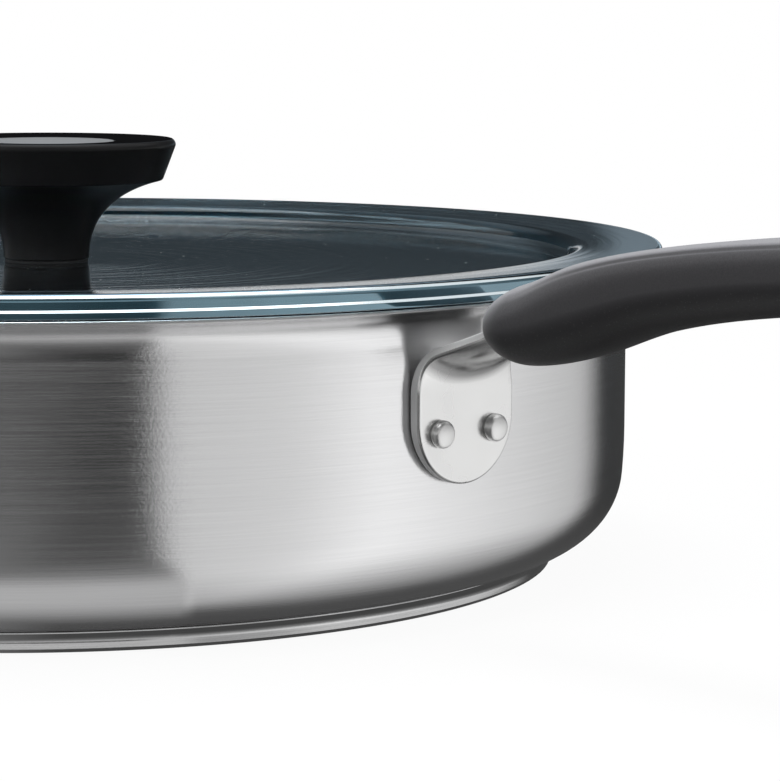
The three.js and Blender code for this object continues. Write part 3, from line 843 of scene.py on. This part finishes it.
def smooth_metal(name, tint, rough, metal=1.0, painted_shade_tint=None):
    """Metal with faint wear, and with painted_shade_tint a darker tint painted as shade where the sheet
    turns under.
    """
    painted_shade_facing, lightest = (-0.22, -0.5), 1.06
    smoothest, roughest = rough * 0.75, rough * 1.3
    material, tree, shader = finish_of(name, Metallic=metal)
    patch = use(tree, "clouding", Size=60)
    skin = use(tree, "speckle", Spots=1500, Skin=1800)
    if painted_shade_tint:
        # Painted shade: the tint darkens where the sheet faces down.
        under = mapped(tree, use(tree, "upward")["Up"], *painted_shade_facing, 0, 1)
        colour = blended(tree, under, tint, painted_shade_tint)
    else:
        pale = tuple(min(c * lightest, 1) for c in tint)
        colour = blended(tree, patch["Patch"], tint, pale)
    tree.links.new(colour, shader.inputs["Base Color"])
    wear = mapped(tree, patch["Patch"], *NOISE, smoothest, roughest)
    tree.links.new(wear, shader.inputs["Roughness"])
    bump(tree, shader, skin["Skin"], relief=0.0000025)
    return material


def moulded(name, tint, pale, rough, skin, relief, spots=900, size=0.16, spread=0.1, gloss=0.5):
    """Moulded plastic or rubber with a fine skin and a few pale specks."""
    most_shade = 0.35
    material, tree, shader = finish_of(name, Specular_IOR_Level=gloss)
    speck = use(tree, "speckle", Spots=spots, Skin=skin, Size=size)
    patch = use(tree, "clouding", Size=45)
    shade = mapped(tree, patch["Patch"], *NOISE, 0, most_shade)
    both = math_node(tree, "MAXIMUM", speck["Spot"], shade)
    tree.links.new(blended(tree, both, tint, pale), shader.inputs["Base Color"])
    wear = mapped(tree, speck["Skin"], *NOISE, rough - spread, rough + spread)
    tree.links.new(wear, shader.inputs["Roughness"])
    bump(tree, shader, speck["Skin"], relief)
    return material


def soft_grip():
    """Soft moulded rubber, dark, with painted light: paler where it faces up, and a painted sheen along
    the crest where it is seen at a grazing angle, over a mottled skin with pale specks.
    """
    dark, painted_light_and_speck_tint = (0.0135, 0.0128, 0.0143), (0.265, 0.26, 0.272)
    painted_top_light_range, painted_top_light_power, most_painted_top_light, speck_paleness = (-0.6, 0.97), 2.2, 0.22, 0.08
    painted_sheen_facing, most_painted_sheen, mottle, roughs = (0.45, 0.85), 1.1, (0.75, 1.25), (0.5, 0.66)
    material, tree, shader = finish_of("grip_soft", Specular_IOR_Level=0.25, Sheen_Weight=0.2)
    speck = use(tree, "speckle", Spots=1500, Skin=3000, Size=0.25, Rarity=0.5)
    facing = add(tree, "LayerWeight", Blend=0.5).outputs["Facing"]
    # Painted light: the colour pales the more the rubber faces up.
    top_facing_share = mapped(tree, use(tree, "upward")["Up"], *painted_top_light_range, 0, 1)
    painted_top_light = math_node(tree, "POWER", top_facing_share, painted_top_light_power)
    # Painted sheen: paler still where the upward faces are seen at a grazing angle.
    sheen = product(tree, painted_top_light, mapped(tree, facing, *painted_sheen_facing, 0, most_painted_sheen))
    painted_light = math_node(tree, "ADD", math_node(tree, "MINIMUM", painted_top_light, most_painted_top_light), sheen)
    mottled = product(tree, painted_light, mapped(tree, speck["Skin"], *NOISE, *mottle))
    # The pale specks are the rubber's own colour.
    pale = math_node(tree, "MAXIMUM", mottled, product(tree, speck["Spot"], speck_paleness))
    tree.links.new(blended(tree, pale, dark, painted_light_and_speck_tint), shader.inputs["Base Color"])
    tree.links.new(mapped(tree, speck["Skin"], *NOISE, *roughs), shader.inputs["Roughness"])
    bump(tree, shader, speck["Skin"], relief=0.00001)
    return material


def glass():
    """Pressed glass with faint rings from its mould, smears and a little dust."""
    most_dust, clean, dusted = 0.7, 0.06, 0.4
    material, tree, shader = finish_of("lid_glass", IOR=1.5, Transmission_Weight=1.0)
    speck = use(tree, "speckle", Spots=420, Skin=800, Size=0.12, Rarity=0.96)
    patch = use(tree, "clouding", Size=14)
    rings = use(tree, "turned_grain", Around=2, Across=260)
    colour = blended(tree, patch["Patch"], (0.93, 0.985, 0.99), (0.97, 1.0, 1.0))
    tree.links.new(colour, shader.inputs["Base Color"])
    dusty = product(tree, speck["Spot"], patch["Patch"])
    tree.links.new(mapped(tree, dusty, 0, most_dust, clean, dusted), shader.inputs["Roughness"])
    bump(tree, shader, rings["Lines"], relief=0.00005)
    volume = add(tree, "VolumeAbsorption", Color=(0.3, 0.6, 0.74, 1), Density=25.0)
    tree.links.new(volume.outputs[0], tree.nodes["Material Output"].inputs["Volume"])
    return material


def glass_edge():
    """The thick edge, whose depth of glass looks teal."""
    material, tree, shader = finish_of(
        "lid_edge", Metallic=0.7, Roughness=0.1, Coat_Weight=1.0, Coat_IOR=1.8)
    depths = (0.42, 0.62)
    patch = use(tree, "clouding", Size=26)
    speck = use(tree, "speckle", Spots=300, Skin=1200, Size=0.1, Rarity=0.9)
    depth = mapped(tree, patch["Patch"], *depths, 0, 1)
    colour = blended(tree, depth, (0.075, 0.185, 0.245), (0.115, 0.25, 0.32))
    tree.links.new(colour, shader.inputs["Base Color"])
    bump(tree, shader, speck["Skin"], relief=0.000004)
    return material


STEEL = brushed_steel(
    "brushed_steel", (0.67, 0.67, 0.675), (0.725, 0.725, 0.73), rough=0.19, stretch=0.85, relief=0.00002)
CAP_STEEL = brushed_steel(
    "base_steel", (0.56, 0.56, 0.565), (0.65, 0.65, 0.65), rough=0.13, stretch=0.4,
    around=30, across=2200)
DISC_STEEL = brushed_steel(
    "knob_disc_steel", (0.21, 0.21, 0.212), (0.27, 0.27, 0.272), rough=0.45, stretch=0.1,
    around=60, across=4200, metal=0.3)
POLISHED = smooth_metal("polished_steel", (0.78, 0.78, 0.775), rough=0.18)
# Painted shade: the bracket's tint darkens where the sheet turns under.
BRACKET = smooth_metal(
    "bracket_steel", (0.78, 0.78, 0.775), rough=0.25, metal=0.88, painted_shade_tint=(0.34, 0.34, 0.34))
RIVET = smooth_metal("rivet_aluminium", (0.76, 0.76, 0.755), rough=0.36, metal=0.92)
SHEARED = smooth_metal("sheared_steel", (0.7, 0.7, 0.7), rough=0.45, metal=0.4)
ALUMINIUM = smooth_metal("base_aluminium", (0.66, 0.67, 0.68), rough=0.4)
BRASS = smooth_metal("insert_brass", (0.62, 0.45, 0.17), rough=0.32)
# Painted highlight: a bright metal finish on the glass edge's upward rounds and ledge, so they shine as
# white lines.
ARRIS_HIGHLIGHT = smooth_metal("lid_arris_highlight", (0.72, 0.8, 0.84), rough=0.12)
COATING = moulded(
    "pan_coating", (0.018, 0.021, 0.026), (0.06, 0.066, 0.075), rough=0.42, skin=2200, relief=0.00001,
    spots=1300, size=0.2)
BLACK = moulded(
    "knob_black", (0.0095, 0.0095, 0.01), (0.02, 0.02, 0.021), rough=0.33, skin=3600, relief=0.000003,
    spots=1500, size=0.1, spread=0.05, gloss=0.14)
# Painted shade: a darker, glossless copy of the knob's black, for its dish.
DISH_PAINTED_SHADE = moulded(
    "knob_dish_painted_shade", (0.004, 0.004, 0.0045), (0.008, 0.008, 0.008), rough=0.7, skin=3600, relief=0.000003,
    spots=1500, size=0.1, spread=0.05, gloss=0.0)
RUBBER = moulded(
    "gasket_rubber", (0.012, 0.012, 0.013), (0.03, 0.03, 0.03), rough=0.7, skin=2400, relief=0.000012)
SOFT = soft_grip()
GLASS_FINISH = glass()
EDGE_FINISH = glass_edge()


# Dressing the solids

def dress(made, body, slot, node, *materials):
    """Give a piece its finishes and its body, in place of a solid. The slot is not used."""
    for material in materials:
        made.data.materials.append(material)
    made.modifiers.new("flats_stay_flat", "WEIGHTED_NORMAL").keep_sharp = True
    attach(made, body)
    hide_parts(node)


dress(make_bowl(), "pan", "steel", "pan_body", STEEL, COATING, SHEARED)
dress(make_cap(), "pan", "polished", "base_cap", CAP_STEEL)
dress(make_bracket(), "pan", "polished", "handle_bracket", BRACKET, SHEARED)
for side, sign in (("left", -1), ("right", 1)):
    dress(make_rivet("plate_rivet_" + side, sign), "pan", "polished", "rivet_" + side, RIVET)
dress(make_grip(), "pan", "grip", "handle_grip", SOFT)
dress(make_lid(), "lid", "glass", "lid_glass", GLASS_FINISH, EDGE_FINISH, ARRIS_HIGHLIGHT)
dress(make_knob(), "lid", "black", "knob", BLACK, DISH_PAINTED_SHADE)
dress(make_inlay(), "lid", "steel", "knob_inlay", DISC_STEEL)
dress(ring("seal_above", NECK - FIT, FLOOR_HIGH, KNOB_FOOT), "lid", "rubber", "upper_gasket", RUBBER)
dress(ring("seal_below", WASHER_RADIUS, WASHER_HIGH, FLOOR_LOW), "lid", "rubber", "lower_gasket", RUBBER)
dress(ring("washer", WASHER_RADIUS, WASHER_LOW, WASHER_HIGH), "lid", "polished", "knob_washer", POLISHED)
dress(make_screw(), "lid", "polished", "knob_screw", POLISHED)
for node, material in (("base_core", ALUMINIUM), ("knob_insert", BRASS)):
    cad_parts[node].data.materials.clear()
    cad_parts[node].data.materials.append(material)


# Studio: azimuths in degrees, heights as the sine of the elevation, reaches on the floor in metres

# Azimuth and brightness of the walls, dark where a flag stands
STUDIO_WALLS = [
    (-112, 0.85),
    (-100, 0.12),
    (-45, 0.06),
    (-28, 0.018),
    (-19, 0.022),
    (-17.8, 0.75),
    (8, 0.92),
    (27, 1.25),
    (64, 0.92),
    (88, 0.66),
    (99, 0.045),
    (163, 0.045),
    (175, 0.85),
]
FADE_HEIGHT, FADE_AZIMUTHS, FADED = 0.1, (25, 70), (0.5, 0.12)
BEHIND, OVER_FLAG, FRONT = (90, 99), (120, 126), (-10, 0)
OVER_FLAG_HEIGHTS, OVER_FLAG_BRIGHT = (0.3, 0.5), (0.06, 0.45)
HORIZON_HEIGHTS, HORIZON_BRIGHT = (-0.008, 0.002, 0.04, 0.068), 0.7
FILL_HEIGHTS, FILL_BRIGHT = (0.02, 0.1, 0.3, 0.4), 0.75
GLOW_AZIMUTHS = (126, 128, 131.9, 132.7)
GLOW_HEIGHTS, GLOW_BRIGHT = (0.04, 0.055, 0.15, 0.18), 0.3
CEILING_AZIMUTHS = (-20, -12, 85, 95)
CEILING_HEIGHTS, CEILING_BRIGHT = (0.42, 0.5), 0.9
OVERHEAD_HEIGHTS, OVERHEAD_BRIGHT = (0.82, 0.88), 2.6
SKY_TINT, SKY_AZIMUTHS = (0.66, 0.84, 0.98), (131.5, 134.5)
SKY_LOW, SKY_HIGH = (-0.03, -0.015), (0.03, 0.06)
SOFT_HEIGHTS, SOFT_BRIGHT = (-0.2, 0.5), (0.03, 0.5)

SHADOW_REACH, SHADOW_WHITE = (0.3, 0.8), (0.95, 1)
FLOOR_REACH, SHADE_RADIUS, SHADE_BRIGHT = 0.3, 0.127, 0.085
SHADE_AZIMUTHS, SHADE_REACH = (-24, 20), (0.168, 0.18)
WEDGE_AZIMUTHS = (-112, -100, -25.7, -24)
WEDGE_LIGHTER, WEDGE_LEAST = (-46, -31), (0.2, 0)

# Distance from the axis and brightness along the wedge
WEDGE_BRIGHT = [
    (SHADE_RADIUS, SHADE_BRIGHT),
    (0.138, 0.55),
    (0.152, 0.6),
    (0.165, 0.24),
    (0.19, 0.12),
    (0.26, 0.035),
    (0.3, 0.022),
]


def ramp(tree, value, stops):
    """Brightness between stops (share, brightness)."""
    node = add(tree, "ValToRGB")
    tree.links.new(value, node.inputs[0])
    points = node.color_ramp.elements
    while len(points) < len(stops):
        points.new(1)
    for point, (share, bright) in zip(points, stops):
        point.position = share
        point.color = (bright, bright, bright, 1)
    return node.outputs[0]


def studio_light(tree, azimuth, height):
    """What reflections see: bright walls with dark flags that fade upwards, and lights above them."""
    turn = mapped(tree, azimuth, -180, 180, 0, 1)
    walls = ramp(tree, turn, [((a + 180) / 360, bright) for a, bright in STUDIO_WALLS])
    faded = mapped(tree, azimuth, *FADE_AZIMUTHS, *FADED)
    fading = between(tree, mapped(tree, height, 0, FADE_HEIGHT, 0, 1), 1, faded)
    behind = mapped(tree, azimuth, *BEHIND, 0, 1)
    over_flag = mapped(tree, azimuth, *OVER_FLAG, 0, 1)
    front = mapped(tree, azimuth, *FRONT, 1, 0)
    glow = band(tree, azimuth, GLOW_AZIMUTHS)
    ceiling = band(tree, azimuth, CEILING_AZIMUTHS)
    light = product(tree, walls, fading)
    for part in (
        product(tree, behind, band(tree, height, HORIZON_HEIGHTS, HORIZON_BRIGHT)),
        product(tree, over_flag, mapped(tree, height, *OVER_FLAG_HEIGHTS, *OVER_FLAG_BRIGHT)),
        product(tree, front, band(tree, height, FILL_HEIGHTS, FILL_BRIGHT)),
        product(tree, glow, band(tree, height, GLOW_HEIGHTS, GLOW_BRIGHT)),
        product(tree, ceiling, mapped(tree, height, *CEILING_HEIGHTS, 0, CEILING_BRIGHT)),
        mapped(tree, height, *OVERHEAD_HEIGHTS, 0, OVERHEAD_BRIGHT),
    ):
        light = math_node(tree, "MAXIMUM", light, part)
    return light


def studio_tint(tree, azimuth, height):
    """White, with a blue tint behind the pan to the right of the middle and above the horizon."""
    right = mapped(tree, azimuth, *SKY_AZIMUTHS, 1, 0)
    tinted = product(tree, right, mapped(tree, height, *SKY_LOW, 0, 1))
    tinted = math_node(tree, "MAXIMUM", tinted, mapped(tree, height, *SKY_HIGH, 0, 1))
    tinted = product(tree, tinted, mapped(tree, azimuth, *BEHIND, 0, 1))
    return blended(tree, tinted, (1, 1, 1), SKY_TINT)


def make_world():
    """White to the eye, a studio with dark flags to reflections, soft light from above to the rest."""
    world = bpy.data.worlds.new("studio")
    bpy.context.scene.world = world
    world.use_nodes = True
    tree = world.node_tree
    azimuth, height, _ = directions(tree, "Generated")
    mirrored = tree.nodes["Background"]
    tree.links.new(studio_tint(tree, azimuth, height), mirrored.inputs["Color"])
    tree.links.new(studio_light(tree, azimuth, height), mirrored.inputs["Strength"])
    soft = add(tree, "Background", Color=(0.95, 0.97, 1, 1))
    tree.links.new(mapped(tree, height, *SOFT_HEIGHTS, *SOFT_BRIGHT), soft.inputs["Strength"])
    white = add(tree, "Background", Color=(1, 1, 1, 1), Strength=1.0)
    path = add(tree, "LightPath").outputs
    lit = shader_mix(tree, path["Is Diffuse Ray"], mirrored, soft)
    whole = shader_mix(tree, path["Is Camera Ray"], lit, white)
    tree.links.new(whole.outputs[0], tree.nodes["World Output"].inputs["Surface"])


def make_floor():
    """A white floor that keeps the shadow near the pan, and what reflections see in its place."""
    quarters = ((-1, -1), (1, -1), (1, 1), (-1, 1))
    corners = [(x * FLOOR_SIZE, y * FLOOR_SIZE, -FLOOR_DROP) for x, y in quarters]
    floor = piece("floor", corners, [(0, 1, 2, 3)])
    material, tree, shader = finish_of("floor_white", Roughness=0.9, Base_Color=(0.9, 0.9, 0.9, 1))
    white = add(tree, "Emission", Color=(1, 1, 1, 1), Strength=1.0)
    camera_ray = add(tree, "LightPath").outputs["Is Camera Ray"]
    _, _, away = directions(tree, "Object")
    share = product(tree, camera_ray, mapped(tree, away, *SHADOW_REACH, *SHADOW_WHITE))
    whole = shader_mix(tree, share, shader, white)
    tree.links.new(whole.outputs[0], tree.nodes["Material Output"].inputs["Surface"])
    floor.data.materials.append(material)
    for ray in ("glossy", "diffuse", "transmission"):
        setattr(floor, "visible_" + ray, False)
    floor_mirrored()


def pan_shade(tree, azimuth, away):
    """A mask of the shade round the pan, which reaches further to the right."""
    reach = mapped(tree, azimuth, *SHADE_AZIMUTHS, *SHADE_REACH)
    left = math_node(tree, "SUBTRACT", reach, away)
    near = math_node(tree, "DIVIDE", left, math_node(tree, "SUBTRACT", reach, SHADE_RADIUS))
    near = math_node(tree, "MINIMUM", math_node(tree, "MAXIMUM", near, 0), 1)
    return product(tree, near, near)


def floor_mirrored():
    """What reflections see of the floor: the shade under the pan, and a dark wedge before it."""
    height = -FLOOR_DROP / 2
    made = turned("floor_mirrored", [(0, height), (FLOOR_REACH / MM, height)], FLOOR_STEPS)
    material = bpy.data.materials.new("floor_mirrored")
    material.use_nodes = True
    tree = material.node_tree
    tree.nodes.remove(tree.nodes["Principled BSDF"])
    azimuth, _, away = directions(tree, "Object")
    wedge = band(tree, azimuth, WEDGE_AZIMUTHS)
    share = mapped(tree, away, 0, FLOOR_REACH, 0, 1)
    dark = ramp(tree, share, [(radius / FLOOR_REACH, bright) for radius, bright in WEDGE_BRIGHT])
    dark = math_node(tree, "MAXIMUM", dark, mapped(tree, azimuth, *WEDGE_LIGHTER, *WEDGE_LEAST))
    glow = add(tree, "Emission", Color=(1, 1, 1, 1))
    tree.links.new(between(tree, wedge, SHADE_BRIGHT, dark), glow.inputs["Strength"])
    seen = math_node(tree, "MAXIMUM", pan_shade(tree, azimuth, away), wedge)
    whole = shader_mix(tree, seen, add(tree, "BsdfTransparent"), glow)
    tree.links.new(whole.outputs[0], tree.nodes["Material Output"].inputs["Surface"])
    made.data.materials.append(material)
    for ray in ("camera", "diffuse", "transmission", "shadow"):
        setattr(made, "visible_" + ray, False)
    return made


def lamp(name, place, aim, size, radiance):
    """An area lamp that lights the pan but shows in no reflection."""
    data = bpy.data.lights.new(name, "AREA")
    data.shape = "RECTANGLE"
    data.size, data.size_y = size
    data.energy = radiance * math.pi * size[0] * size[1]
    made = bpy.data.objects.new(name, data)
    made.location = place
    made.rotation_euler = (Vector(aim) - Vector(place)).to_track_quat("-Z", "Y").to_euler()
    made.visible_glossy = False
    bpy.context.scene.collection.objects.link(made)


def make_camera():
    """The photograph's view, in radians and metres, fitted to the ellipses of the lid, rim and base."""
    turn, yaw, pitch, roll = math.radians(51.8), 0.1065, 0.1245, 0.0036
    away, height = 0.7830133, 0.1374781
    focal_pixels, picture_pixels, sensor = 3225.582, 781, 36
    data = bpy.data.cameras.new("photo_camera")
    data.sensor_width = sensor
    data.lens = focal_pixels * sensor / picture_pixels
    camera = bpy.data.objects.new("photo_camera", data)
    aim = Matrix.Rotation(turn - yaw, 4, "Z") @ Matrix.Rotation(math.pi / 2 - pitch, 4, "X")
    aim = aim @ Matrix.Rotation(roll, 4, "Z")
    place = (away * math.sin(turn), -away * math.cos(turn), height)
    camera.matrix_world = Matrix.Translation(place) @ aim
    bpy.context.scene.collection.objects.link(camera)
    bpy.context.scene.camera = camera


make_camera()
make_world()
make_floor()
lamp("top_strip", place=(0, 0, 1.3), aim=(0, 0, 0), size=(1.0, 0.4), radiance=9)
lamp("left_fill", place=(0.25, -1.1, 0.8), aim=(0.15, 0, 0.05), size=(0.6, 0.6), radiance=6)
bpy.context.scene.view_settings.view_transform = "Standard"
